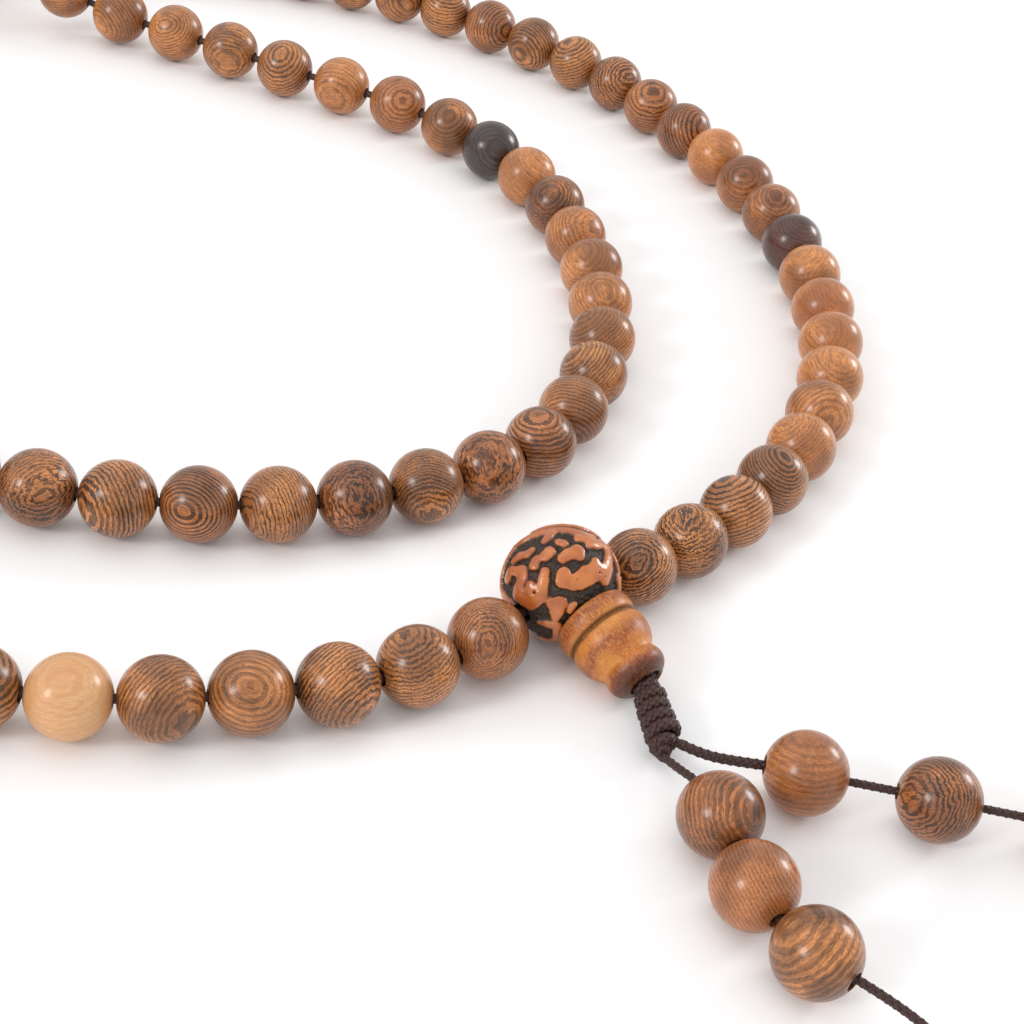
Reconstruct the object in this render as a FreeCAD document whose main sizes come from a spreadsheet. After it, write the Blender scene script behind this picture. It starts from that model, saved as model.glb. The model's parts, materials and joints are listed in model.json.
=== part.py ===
"""Mala prayer beads: round wooden beads on one cord, laid as a doubled ring, with a carved guru
bead, a turned tower bead, a braided knot and two tails that carry three counter beads each.

Millimetres, +Z up. The mala lies on the plane z = 0 and the origin is below the middle of the
ring's box. The cord's two ends enter the guru bead from opposite sides, turn down together
through the tower bead and finish in the knot.
"""
import math
import os

import FreeCAD
import Part
import Sketcher
from FreeCAD import Placement, Rotation, Vector

doc = FreeCAD.newDocument("mala")

# ---------------------------------------------------------------- driving dimensions
SIZES = {
    "bead_diameter": 8.0,
    "bead_bore": 2.0,
    "bead_end_angle": 74.0,        # latitude in degrees where the flat at each bore mouth begins
    "bead_pitch": 8.06,            # centre to centre along the cord where the beads touch
    "cord_diameter": 0.95,
    "guru_half_width": 6.2,        # along the ring's cord
    "guru_half_height": 5.85,
    "guru_cord_bore": 2.6,
    "guru_tower_bore": 2.6,
    "guru_bore_length": 7.2,       # each bore runs from the centre out past the surface
    "guru_hollow": 2.3,            # radius of the junction where the three bores meet
    "guru_gap": 0.15,              # between the guru bead and the beads beside it
    "cord_turn_radius": 1.6,       # the cord's turn inside the junction
    "stem_spacing": 1.0,           # between the two cord ends inside the tower
    "stem_gap": 0.2,               # between those ends and the knot
    "tower_bore": 1.3,             # the turned tower: radii, and stations from the guru's centre
    "tower_seat": 6.08,            # radius of the cup that sits round the guru
    "collar_rim": 3.85,
    "collar_arc": 2.2,
    "collar_edge": 3.95,
    "collar_end": 6.75,
    "groove_radius": 3.5,
    "groove_start": 6.85,
    "groove_end": 7.15,
    "bell_start_radius": 3.9,
    "bell_start": 7.3,
    "bell_arc": 3.43,
    "bell_end_radius": 3.45,
    "bell_end": 10.2,
    "neck_arc": 1.4,
    "neck_radius": 2.75,
    "neck": 11.0,
    "lip_arc": 1.52,
    "lip_end_radius": 2.3,
    "lip_end": 13.3,
    "mouth_radius": 1.95,
    "mouth": 13.6,
    "recess_start": 11.8,
    "recess_shoulder": 11.5,
    "knot_pivot": 13.2,            # station on the tower's axis where the knot bends
    "knot_neck_radius": 0.9,       # braided knot: neck in the tower's mouth, then its ridges
    "knot_top_flat": 0.3,
    "knot_neck_end": 1.5,
    "ridge_valley": 1.45,
    "ridge_length": 1.12,
    "ridge_arc": 0.68,
    "last_valley": 1.2,
    "knot_tip_radius": 1.0,
    "knot_length": 8.4,
    "end_knot_waist": 0.75,        # overhand knot and loose tip at the end of each tail
    "end_knot_lobe": 1.25,
    "end_knot_arc": 0.75,
    "end_knot_tip": 4.2,
}
RIDGE_COUNT = 6
CORNER_SHARE = 0.45                # part of the shorter run that a corner's arc may take
SEARCH_STEP = 0.02                 # how finely the ring is searched for the first bead's place

sheet = doc.addObject("Spreadsheet::Sheet", "sizes")
for row, (alias, value) in enumerate(SIZES.items(), start=1):
    sheet.set("A%d" % row, alias)
    sheet.set("B%d" % row, str(value))
    sheet.setAlias("B%d" % row, alias)
doc.recompute()


def size(alias):
    return float(sheet.get(alias))


# ---------------------------------------------------------------- places and routes
FLAT = size("bead_diameter") / 2   # height of a bead's centre when it lies on the plane
GURU = Vector(56.9, -57.1, size("guru_half_height"))
TOWER_AXIS = Vector(0.704, -0.680, -0.208).normalize()
GURU_WIDTH_AXIS = Vector(0.68, 0.72, 0.0).normalize()
KNOT_AXIS = Vector(0.290, -0.944, -0.151).normalize()

# the ring's cord, counter-clockwise from the guru: near turn, far side, hidden side, and round
# again inside it; the second turn climbs over the first where the two cross
RING_ROUTE = [
    (65.1, -50.3), (74.9, -37.9), (82.7, -22.9), (86.6, -4.9), (84.8, 13.1), (78.8, 32.1),
    (69.4, 47.5), (54.8, 64.6), (36.9, 75.3),
    (16.9, 82.6), (-7.1, 84.1), (-28.6, 79.3), (-44.6, 68.1), (-53.1, 51.6), (-57.4, 33.1),
    (-58.4, 13.1), (-54.6, -7.9), (-45.6, -27.5), (-31.1, -43.9), (-13.1, -53.6),
    (6.9, -55.2), (25.9, -51.6), (41.9, -43.5), (53.9, -31.4), (58.7, -11.9), (55.9, 8.1),
    (47.5, 26.6), (36.9, 37.5), (23.3, 44.8), (7.9, 48.4),
    (-6.1, 53.0), (-20.1, 56.1), (-33.6, 58.4, 7.5), (-45.6, 59.1, 13.1), (-58.1, 57.4, 13.1),
    (-68.6, 51.6, 7.5), (-77.6, 41.6), (-84.6, 25.1), (-86.6, 5.1), (-82.6, -15.4),
    (-71.6, -34.9), (-56.1, -52.4), (-37.1, -68.1), (-15.1, -79.3),
    (4.9, -84.3), (22.9, -81.3), (40.9, -73.9), (50.9, -65.6),
]
BEAD_COUNT = 108
LOOSE_BEADS = range(67, 83)        # the cord's slack opens gaps after each of these beads
MARKER_BEADS = (11, 66)
PALE_BEADS = (103,)
TURNING_BEADS = list(range(1, 23)) + list(range(53, 67)) + list(range(102, 109))
GROUPED_BEADS = (range(23, 53), range(67, 102))

# tail A runs off to the near side with its beads together, tail B to the right with gaps
TAIL_A_ROUTE = [
    (68.8, -74.5, 1.8), (70.2, -76.3, 2.4), (72.0, -78.8, 3.6), (73.7, -82.2, 4.05),
    (76.4, -89.8), (81.5, -96.1), (88.4, -99.8), (92.3, -101.7, 3.0), (96.0, -103.9, 1.8),
    (98.8, -105.9, 1.4),
]
TAIL_B_ROUTE = [
    (70.2, -73.0, 2.4), (72.3, -74.0, 2.5), (75.2, -74.8, 3.2), (78.6, -75.4),
    (112.6, -76.4), (117.4, -76.2, 3.2), (121.6, -75.4, 2.0), (125.0, -74.2, 1.4),
]
TAIL_A_STATIONS = (10.0, 18.1, 26.2)     # bead centres, measured along the tail from the knot
TAIL_B_STATIONS = (12.0, 24.4, 37.2)


def points(route):
    return [Vector(p[0], p[1], p[2] if len(p) > 2 else FLAT) for p in route]


def rounded(corners, limits):
    """Straight runs joined by tangent arcs. limits caps the radius at the corners it names."""
    edges, radii, start = [], [], corners[0]
    for i in range(1, len(corners) - 1):
        back, ahead = corners[i - 1] - corners[i], corners[i + 1] - corners[i]
        half_turn = (math.pi - back.getAngle(ahead)) / 2
        shorter = min(back.Length, ahead.Length)
        radius = CORNER_SHARE * shorter / math.tan(half_turn)
        radius = min(radius, limits.get(i, radius))
        trim = radius * math.tan(half_turn)
        back.normalize()
        ahead.normalize()
        into, out = corners[i] + back * trim, corners[i] + ahead * trim
        bisector = (back + ahead).normalize()
        middle = corners[i] + bisector * (radius / math.cos(half_turn) - radius)
        edges.append(Part.LineSegment(start, into).toShape())
        edges.append(Part.Arc(into, middle, out).toShape())
        radii.append(radius)
        start = out
    edges.append(Part.LineSegment(start, corners[-1]).toShape())
    return edges, radii


def station(edges, distance):
    """The point and the direction of a route at a distance from its start."""
    for edge in edges:
        if distance <= edge.Length:
            parameter = edge.getParameterByLength(distance)
            return edge.valueAt(parameter), edge.tangentAt(parameter)
        distance -= edge.Length
    raise ValueError("the route is shorter than that")


def aimed(origin, axis):
    """A placement whose local +Z points along axis."""
    return Placement(origin, Rotation(Vector(0, 0, 1), axis))


# ---------------------------------------------------------------- sub-part builders
nodes = []


def named(obj, name):
    obj.Label = name
    nodes.append(obj)
    return obj


def bind(obj, **expressions):
    for prop, expression in expressions.items():
        obj.setExpression(prop, expression)


def bead_solid(name, place):
    """A turned ball with a bore through it and a small flat at each bore mouth."""
    ball = doc.addObject("Part::Sphere", name + "_ball")
    bind(ball, Radius="sizes.bead_diameter / 2", Angle1="-sizes.bead_end_angle",
         Angle2="sizes.bead_end_angle")
    bore = doc.addObject("Part::Cylinder", name + "_bore")
    bind(bore, Radius="sizes.bead_bore / 2", Height="sizes.bead_diameter")
    bore.setExpression("Placement.Base.z", "-sizes.bead_diameter / 2")
    bead = doc.addObject("Part::Cut", name)
    bead.Base, bead.Tool = ball, bore
    bead.Placement = place
    return bead


def bead_group(name, numbers):
    """Beads that share one node, as separate solids."""
    group = doc.addObject("Part::Compound", name)
    group.Links = [bead_solid("bead_%03d" % n, bead_place[n]) for n in numbers]
    return named(group, name)


def cord(name, edges, corner_radii):
    """A round cord swept along its route of runs and arcs."""
    route = doc.addObject("Part::Feature", name + "_route")
    route.Shape = Part.Wire(edges)
    section = doc.addObject("Part::Circle", name + "_section")
    bind(section, Radius="sizes.cord_diameter / 2")
    section.Placement = aimed(edges[0].valueAt(edges[0].FirstParameter), station(edges, 0)[1])
    sweep = doc.addObject("Part::Sweep", name)
    sweep.Sections = [section]
    sweep.Spine = (route, ["Edge%d" % (i + 1) for i in range(len(edges))])
    sweep.Solid, sweep.Frenet = True, False
    doc.recompute()
    length = sum(edge.Length for edge in edges)
    ideal = math.pi * size("cord_diameter") ** 2 / 4 * length
    print("%s: length %.1f, volume / ideal %.4f" % (name, length, sweep.Shape.Volume / ideal))
    print("  radii", [round(r, 1) for r in corner_radii])
    return named(sweep, name)


def turned(name, vertices, arcs, place):
    """A Body turned about its local Z. vertices are (radius, station) expressions in order, and
    arcs maps an edge's number to its radius expression and the side it bulges to."""
    body = doc.addObject("PartDesign::Body", name)
    sketch = body.newObject("Sketcher::SketchObject", name + "_profile")
    plane = [f for f in body.Origin.OriginFeatures if f.Role == "XZ_Plane"][0]
    sketch.AttachmentSupport = [(plane, "")]
    sketch.MapMode = "FlatFace"
    at = [Vector(evaluate(x), evaluate(y), 0) for x, y in vertices]
    count = len(at)
    for i in range(count):
        start, end = at[i], at[(i + 1) % count]
        if i in arcs:
            radius, side = evaluate(arcs[i][0]), arcs[i][1]
            chord = end - start
            normal = Vector(chord.y, -chord.x, 0).normalize() * side
            sagitta = radius - math.sqrt(radius ** 2 - (chord.Length / 2) ** 2)
            middle = (start + end) * 0.5 + normal * sagitta
            sketch.addGeometry(Part.Arc(start, middle, end))
        else:
            sketch.addGeometry(Part.LineSegment(start, end))
    for i in range(count):
        after = (i + 1) % count
        shared = at[after]
        add(sketch, "Coincident", i, end_of(sketch, i, shared), after,
            end_of(sketch, after, shared))
    for i, (x, y) in enumerate(vertices):
        corner = end_of(sketch, i, at[i])
        fix(sketch, "DistanceX", i, corner, at[i].x, x)
        fix(sketch, "DistanceY", i, corner, at[i].y, y)
    for i, (radius, side) in arcs.items():
        add(sketch, "Radius", i, evaluate(radius))
        sketch.setExpression("Constraints[%d]" % (sketch.ConstraintCount - 1), radius)
    turn = body.newObject("PartDesign::Revolution", name + "_turned")
    turn.Profile = sketch
    turn.ReferenceAxis = (sketch, ["V_Axis"])
    turn.Angle = 360
    body.Placement = place
    return named(body, name)


def evaluate(expression):
    return float(sheet.evalExpression(expression))


def end_of(sketch, edge, point):
    """Which end of an edge, 1 or 2, lies at a point."""
    return min((1, 2), key=lambda e: sketch.getPoint(edge, e).distanceToPoint(point))


def add(sketch, kind, *values):
    sketch.addConstraint(Sketcher.Constraint(kind, *values))


def fix(sketch, kind, edge, corner, value, expression):
    add(sketch, kind, -1, 1, edge, corner, value)
    sketch.setExpression("Constraints[%d]" % (sketch.ConstraintCount - 1), expression)


# ---------------------------------------------------------------- the ring's cord and its beads
side = GURU_WIDTH_AXIS * (size("stem_spacing") / 2)
stem = TOWER_AXIS * (size("knot_pivot") - size("knot_neck_radius") - size("stem_gap"))
ring_corners = ([GURU + side + stem, GURU + side] + points(RING_ROUTE)
                + [GURU - side, GURU - side + stem])
turns = {1: size("cord_turn_radius"), len(ring_corners) - 2: size("cord_turn_radius")}
ring_edges, ring_radii = rounded(ring_corners, turns)
ring_length = sum(edge.Length for edge in ring_edges)
cord("loop_string", ring_edges, ring_radii)


def beside_guru(step):
    """Distance along the ring, from one end of its cord, where a bead touches the guru."""
    clear = size("guru_half_width") + size("bead_diameter") / 2 + size("guru_gap")
    distance = stem.Length + size("cord_turn_radius")
    while True:
        at = distance if step > 0 else ring_length - distance
        if (station(ring_edges, at)[0] - GURU).Length >= clear:
            return at
        distance += SEARCH_STEP


first, last = beside_guru(+1), beside_guru(-1)
slack = last - first - (BEAD_COUNT - 1) * size("bead_pitch")
print("ring: slack %.2f between the loose beads" % slack)
bead_place, distance = {}, first
for n in range(1, BEAD_COUNT + 1):
    bead_place[n] = aimed(*station(ring_edges, distance))
    distance += size("bead_pitch") + (slack / len(LOOSE_BEADS) if n in LOOSE_BEADS else 0)

for n in TURNING_BEADS:
    kind = "marker_bead" if n in MARKER_BEADS else "pale_bead" if n in PALE_BEADS else "bead"
    label = "%s_%03d" % (kind, n)
    named(bead_solid(label, bead_place[n]), label)
for numbers in GROUPED_BEADS:
    bead_group("beads_%03d_to_%03d" % (numbers[0], numbers[-1]), numbers)


# ---------------------------------------------------------------- guru bead
def guru_bore(name, diameter, axis):
    bore = doc.addObject("Part::Cylinder", name)
    bind(bore, Radius="sizes.%s / 2" % diameter, Height="sizes.guru_bore_length")
    bore.Placement = aimed(GURU, axis)
    return bore


def towards(n, side):
    """A cord bore's direction, halfway between the guru's own axis and the bead outside it."""
    return (bead_place[n].Base - GURU).normalize() + GURU_WIDTH_AXIS * side


egg = doc.addObject("Part::Ellipsoid", "guru_ball")
bind(egg, Radius1="sizes.guru_half_width", Radius2="sizes.guru_half_height",
     Radius3="sizes.guru_half_height")
egg.Placement = aimed(GURU, GURU_WIDTH_AXIS)
hollow = doc.addObject("Part::Sphere", "guru_junction")
bind(hollow, Radius="sizes.guru_hollow")
hollow.Placement = aimed(GURU, GURU_WIDTH_AXIS)
bores = doc.addObject("Part::MultiFuse", "guru_bores")
bores.Shapes = [
    hollow,
    guru_bore("guru_bore_near", "guru_cord_bore", towards(1, +1)),
    guru_bore("guru_bore_far", "guru_cord_bore", towards(BEAD_COUNT, -1)),
    guru_bore("guru_bore_tower", "guru_tower_bore", TOWER_AXIS),
]
guru = doc.addObject("Part::Cut", "guru_bead")
guru.Base, guru.Tool = egg, bores
named(guru, "guru_bead")

# ---------------------------------------------------------------- tower bead
turned("tower_bead", [
    ("sizes.tower_bore", "sqrt(sizes.tower_seat ^ 2 - sizes.tower_bore ^ 2)"),
    ("sizes.collar_rim", "sqrt(sizes.tower_seat ^ 2 - sizes.collar_rim ^ 2)"),
    ("sizes.collar_edge", "sizes.collar_end"),
    ("sizes.groove_radius", "sizes.groove_start"),
    ("sizes.groove_radius", "sizes.groove_end"),
    ("sizes.bell_start_radius", "sizes.bell_start"),
    ("sizes.bell_end_radius", "sizes.bell_end"),
    ("sizes.neck_radius", "sizes.neck"),
    ("sizes.lip_end_radius", "sizes.lip_end"),
    ("sizes.mouth_radius", "sizes.mouth"),
    ("sizes.mouth_radius", "sizes.recess_start"),
    ("sizes.tower_bore", "sizes.recess_shoulder"),
], {0: ("sizes.tower_seat", -1), 1: ("sizes.collar_arc", 1), 5: ("sizes.bell_arc", 1),
    6: ("sizes.neck_arc", -1), 7: ("sizes.lip_arc", 1)},
    aimed(GURU, TOWER_AXIS))

# ---------------------------------------------------------------- braided knot
knot_start = "-sqrt(sizes.knot_neck_radius ^ 2 - sizes.knot_top_flat ^ 2)"
knot_vertices = [("0", knot_start), ("sizes.knot_top_flat", knot_start),
                 ("sizes.knot_neck_radius", "0"),
                 ("sizes.knot_neck_radius", "sizes.knot_neck_end")]
knot_arcs = {1: ("sizes.knot_neck_radius", 1)}
for ridge in range(RIDGE_COUNT + 1):
    valley = "ridge_valley" if ridge < RIDGE_COUNT else "last_valley"
    if ridge < RIDGE_COUNT:
        knot_arcs[len(knot_vertices)] = ("sizes.ridge_arc", 1)
    knot_vertices.append(("sizes." + valley,
                          "sizes.knot_neck_end + %d * sizes.ridge_length" % ridge))
knot_vertices += [("sizes.knot_tip_radius", "sizes.knot_length"), ("0", "sizes.knot_length")]
knot_top = GURU + TOWER_AXIS * size("knot_pivot")
turned("tassel_knot", knot_vertices, knot_arcs, aimed(knot_top, KNOT_AXIS))

# ---------------------------------------------------------------- tails
for tail, route, stations in (("a", TAIL_A_ROUTE, TAIL_A_STATIONS),
                              ("b", TAIL_B_ROUTE, TAIL_B_STATIONS)):
    edges, radii = rounded(points(route), {})
    cord("tail_cord_" + tail, edges, radii)
    for number, distance in enumerate(stations, start=1):
        label = "tail_bead_%s%d" % (tail, number)
        named(bead_solid(label, aimed(*station(edges, distance))), label)
    end_point = edges[-1].valueAt(edges[-1].LastParameter)
    end_axis = edges[-1].tangentAt(edges[-1].LastParameter)
    turned("end_knot_" + tail, [
        ("0", "0"), ("sizes.end_knot_waist", "0"), ("sizes.end_knot_waist", "sizes.end_knot_lobe"),
        ("sizes.end_knot_waist", "2 * sizes.end_knot_lobe"),
        ("sizes.cord_diameter / 2", "2 * sizes.end_knot_lobe"),
        ("sizes.cord_diameter / 2", "sizes.end_knot_tip"), ("0", "sizes.end_knot_tip"),
    ], {1: ("sizes.end_knot_arc", 1), 2: ("sizes.end_knot_arc", 1)}, aimed(end_point, end_axis))

# ---------------------------------------------------------------- check and write
doc.recompute()
for obj in doc.Objects:
    if "Invalid" in obj.State or "Error" in obj.State:
        raise RuntimeError("%s failed: %s" % (obj.Name, obj.State))
os.makedirs("parts", exist_ok=True)
for obj in nodes:
    if obj.Shape.isNull() or not obj.Shape.isValid():
        raise RuntimeError("%s has no valid shape" % obj.Label)
    obj.Shape.exportStep("parts/%s.step" % obj.Label)
print("%d nodes" % len(nodes))
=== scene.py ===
"""Looks of the mala prayer beads: polished striped wood beads, a carved guru bead, a turned tower
bead, and a knot and two tails of braided cord.

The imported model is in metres. The shapes here are worked out in millimetres, in the same frame,
and turned into metres where their meshes are made.
"""
import json
import math

import bpy
import numpy as np
from mathutils import Matrix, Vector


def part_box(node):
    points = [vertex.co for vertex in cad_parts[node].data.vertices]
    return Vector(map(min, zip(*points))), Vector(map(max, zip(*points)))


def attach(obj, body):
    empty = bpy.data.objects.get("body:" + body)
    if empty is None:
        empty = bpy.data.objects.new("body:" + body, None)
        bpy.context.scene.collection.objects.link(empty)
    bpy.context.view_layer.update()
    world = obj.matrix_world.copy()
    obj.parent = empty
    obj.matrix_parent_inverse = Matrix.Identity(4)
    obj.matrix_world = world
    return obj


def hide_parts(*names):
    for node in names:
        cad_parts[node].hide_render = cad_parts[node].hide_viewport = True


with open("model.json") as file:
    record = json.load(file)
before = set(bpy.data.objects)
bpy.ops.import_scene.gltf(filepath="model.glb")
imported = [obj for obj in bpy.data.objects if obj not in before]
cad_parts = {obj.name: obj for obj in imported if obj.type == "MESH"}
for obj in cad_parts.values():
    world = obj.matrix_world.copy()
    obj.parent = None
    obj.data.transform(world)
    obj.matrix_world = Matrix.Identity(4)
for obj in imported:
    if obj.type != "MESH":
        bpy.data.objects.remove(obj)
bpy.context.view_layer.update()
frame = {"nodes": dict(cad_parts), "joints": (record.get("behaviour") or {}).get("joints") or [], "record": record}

MM = 0.001
TURN = 2 * math.pi
RANDOM = np.random.default_rng(108)

# ---------------------------------------------------------------- camera, light and floor
CAMERA_PLACE = np.array((50.9, -198.9, 123.2))
CAMERA_PITCH = math.radians(37.73)     # below the horizon
CAMERA_ROLL = math.radians(10.23)
CAMERA_LENS = 65.4                     # for a 36 mm sensor

AHEAD = np.array((0, math.cos(CAMERA_PITCH), -math.sin(CAMERA_PITCH)))
LEVEL_UP = np.array((0, math.sin(CAMERA_PITCH), math.cos(CAMERA_PITCH)))
ACROSS = np.array((math.cos(CAMERA_ROLL), 0, 0)) + math.sin(CAMERA_ROLL) * LEVEL_UP
UP = math.cos(CAMERA_ROLL) * LEVEL_UP - np.array((math.sin(CAMERA_ROLL), 0, 0))

FLOOR_SIZE = 6.0
SOFTBOX_DISTANCE = 2.5
SOFTBOXES = (                          # direction from the mala, side in metres, power in watts
    ("left_softbox", (-0.657, -0.556, 0.536), 0.64, 19.0),
    ("right_softbox", (0.742, 0.547, 0.360), 0.64, 19.0),
    ("top_softbox", (-0.30, 0.15, 0.94), 2.4, 8.0),
)
SKY_STRENGTH = 0.90


def unit(v):
    """A vector, or each row of an array, at length one."""
    v = np.asarray(v, float)
    return v / np.linalg.norm(v, axis=-1, keepdims=True)


def link(name, data):
    """A new object in the scene."""
    obj = bpy.data.objects.new(name, data)
    bpy.context.scene.collection.objects.link(obj)
    return obj


def aim(obj, place, right, up, back):
    """Places an object in metres, with its local X, Y and Z along three directions."""
    for column, axis in enumerate((right, up, back)):
        for row in range(3):
            obj.matrix_world[row][column] = axis[row]
    obj.location = place


def make_camera():
    data = bpy.data.cameras.new("camera")
    data.sensor_width = 36.0
    data.lens = CAMERA_LENS
    data.clip_start = 0.01
    camera = link("camera", data)
    aim(camera, CAMERA_PLACE * MM, ACROSS, UP, -AHEAD)
    bpy.context.scene.camera = camera


def make_lights():
    for name, direction, side, power in SOFTBOXES:
        data = bpy.data.lights.new(name, "AREA")
        data.shape = "SQUARE"
        data.size = side
        data.energy = power
        back = unit(direction)
        right = unit(np.cross((0, 0, 1), back))
        aim(link(name, data), back * SOFTBOX_DISTANCE, right, np.cross(back, right), back)
    world = bpy.data.worlds.new("pale_studio")
    world.use_nodes = True
    sky = world.node_tree.nodes["Background"]
    sky.inputs["Color"].default_value = (1, 1, 1, 1)
    sky.inputs["Strength"].default_value = SKY_STRENGTH
    bpy.context.scene.world = world
    bpy.context.scene.view_settings.view_transform = "Standard"


# ---------------------------------------------------------------- material helpers
def colour(red, green, blue):
    """A linear colour from 0 to 255 display values."""
    def linear(value):
        value /= 255
        return value / 12.92 if value <= 0.04045 else ((value + 0.055) / 1.055) ** 2.4
    return (linear(red), linear(green), linear(blue), 1.0)


class Shader:
    """A material with one Principled node, and short ways to add nodes to it."""

    def __init__(self, name, **constants):
        self.material = bpy.data.materials.new(name)
        self.material.use_nodes = True
        self.tree = self.material.node_tree
        self.surface = self.tree.nodes["Principled BSDF"]
        for socket, value in constants.items():
            self.surface.inputs[socket.replace("_", " ")].default_value = value

    def add(self, kind, inputs, **settings):
        node = self.tree.nodes.new("ShaderNode" + kind)
        for key, value in settings.items():
            setattr(node, key, value)
        for socket, value in inputs.items():
            if isinstance(value, bpy.types.NodeSocket):
                self.tree.links.new(value, node.inputs[socket])
            elif value is not None:
                node.inputs[socket].default_value = value
        return node

    def read(self, attribute, part="Vector"):
        return self.add("Attribute", {}, attribute_name=attribute).outputs[part]

    def math(self, operation, a, b=None, c=None):
        return self.add("Math", {0: a, 1: b, 2: c}, operation=operation).outputs[0]

    def scaled(self, vector, factors):
        node = self.add("VectorMath", {0: vector, 1: factors}, operation="MULTIPLY")
        return node.outputs[0]

    def noise(self, vector, scale, detail=2.0, rough=0.5, seed=0.0, distortion=0.0):
        node = self.add("TexNoise", {"Vector": vector, "W": seed, "Scale": scale, "Detail": detail,
                                     "Roughness": rough, "Distortion": distortion},
                        noise_dimensions="4D")
        return node.outputs["Fac"]

    def span(self, value, low, high, to_low=0.0, to_high=1.0, smooth=True):
        kind = "SMOOTHSTEP" if smooth else "LINEAR"
        node = self.add("MapRange", {"Value": value, "From Min": low, "From Max": high,
                                     "To Min": to_low, "To Max": to_high}, interpolation_type=kind)
        return node.outputs["Result"]

    def mix(self, share, a, b):
        node = self.tree.nodes.new("ShaderNodeMix")
        node.data_type = "RGBA"
        for socket, value in ((node.inputs[0], share), (node.inputs[6], a), (node.inputs[7], b)):
            if isinstance(value, bpy.types.NodeSocket):
                self.tree.links.new(value, socket)
            else:
                socket.default_value = value
        return node.outputs[2]

    def finish(self, base, rough, height, depth, strength=1.0):
        """Links colour, roughness and a bump of a depth in millimetres."""
        self.tree.links.new(base, self.surface.inputs["Base Color"])
        self.tree.links.new(rough, self.surface.inputs["Roughness"])
        bump = self.add("Bump", {"Height": height, "Distance": depth * MM, "Strength": strength})
        self.tree.links.new(bump.outputs["Normal"], self.surface.inputs["Normal"])
        return self.material


# ---------------------------------------------------------------- materials
LAYER_WAVERS = ((0.34, 1.5, 3.0), (1.3, 2.0, 1.7), (5.2, 3.0, 0.85))    # scale, detail, reach in mm
LAYER_PITCH = 0.82                     # from one dark layer to the next, as a share of the spacing
FINE_LAYERS = 2.6                      # thin faint layers to each dark one
FIBRE_STRETCH = (0.10, 1.0, 1.0)
PORE_STRETCH = (0.25, 1.0, 1.0)
REDDISH = colour(150, 74, 44)


def striped_wood(name, dark, brown, light, gloss):
    """Wood with thin dark layers. The mesh gives each bead's own grain coordinates in
    millimetres, x along the fibres and z across the layers, and its traits: tone from dark 0 to
    light 1, seed and layer spacing, then how far the layers bulge, how strongly they show and how
    much they waver."""
    s = Shader(name, Coat_Weight=0.5, Coat_Roughness=0.2, Specular_IOR_Level=0.3)
    grain = s.read("grain")
    tone, seed, spacing = s.add("SeparateXYZ", {0: s.read("trait")}).outputs
    bulge, strength, waver = s.add("SeparateXYZ", {0: s.read("figure")}).outputs
    x, y, z = s.add("SeparateXYZ", {0: grain}).outputs

    oval = s.math("MULTIPLY", s.math("MULTIPLY", x, x), 0.4)
    out = s.math("SQRT", s.math("ADD", s.math("MULTIPLY_ADD", y, y, oval), 0.5))
    bent = s.math("SUBTRACT", z, s.math("MULTIPLY", bulge, out))
    long_grain = s.scaled(grain, (0.45, 1.0, 1.0))
    for scale, detail, reach in LAYER_WAVERS:
        swing = s.math("SUBTRACT", s.noise(long_grain, scale, detail, seed=seed), 0.5)
        share = s.math("MULTIPLY", waver, reach)
        bent = s.math("MULTIPLY_ADD", swing, share, bent)
    count = s.math("DIVIDE", bent, s.math("MULTIPLY", spacing, LAYER_PITCH))
    wave = s.math("SINE", s.math("MULTIPLY", count, TURN))
    uneven = s.noise(s.add("CombineXYZ", {0: count}).outputs[0], 0.6, 1.0, seed=seed)
    level = s.math("MULTIPLY_ADD", s.math("SUBTRACT", uneven, 0.5), 2.2, wave)
    edge = s.math("SUBTRACT", level, s.span(tone, 0.0, 1.0, -0.35, 0.85, smooth=False))
    stripes = s.span(edge, -0.2, 0.24)

    fibre = s.noise(s.scaled(grain, FIBRE_STRETCH), 6.0, 3.0, 0.6, seed=seed)
    patch = s.noise(grain, 0.22, 2.0, seed=seed)
    red = s.math("SINE", s.math("MULTIPLY", seed, 9.7))
    pale = s.math("MULTIPLY", s.span(fibre, 0.25, 0.7), s.span(patch, 0.3, 0.7, 0.35, 1.0))
    body = s.mix(pale, brown, light)
    body = s.mix(s.span(red, -0.2, 1.0, 0.0, 0.3), body, REDDISH)
    shadow = s.span(patch, 0.62, 0.36, 0.0, 0.5)
    body = s.mix(s.math("MULTIPLY", shadow, s.span(tone, 0.0, 0.8, 1.0, 0.3)), body, dark)
    ripple = s.math("SINE", s.math("MULTIPLY", count, FINE_LAYERS * TURN))
    finer = s.span(ripple, -0.3, 0.9, 0.0, 0.32)
    body = s.mix(s.math("MULTIPLY", finer, strength), body, dark)
    fade = s.span(s.noise(long_grain, 0.6, 2.0, seed=seed), 0.36, 0.6, 0.7, 1.0)
    worn = s.math("MULTIPLY", s.math("MULTIPLY", stripes, fade), s.span(fibre, 0.25, 0.6, 1.0, 0.8))
    base = s.mix(s.math("MULTIPLY", worn, strength), body, dark)

    dots = s.noise(s.scaled(grain, PORE_STRETCH), 8.0, 1.0, seed=seed)
    pores = s.span(dots, 0.62, 0.70)
    base = s.mix(s.math("MULTIPLY", pores, s.span(strength, 0.3, 1.0, 0.25, 0.7)), base, dark)
    height = s.math("SUBTRACT", s.math("MULTIPLY", stripes, -0.4), pores)
    rough = s.math("ADD", s.span(fibre, 0.2, 0.8, gloss, gloss + 0.12),
                   s.math("MULTIPLY", pores, 0.2))
    return s.finish(base, rough, height, 0.022, 0.5)


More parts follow.
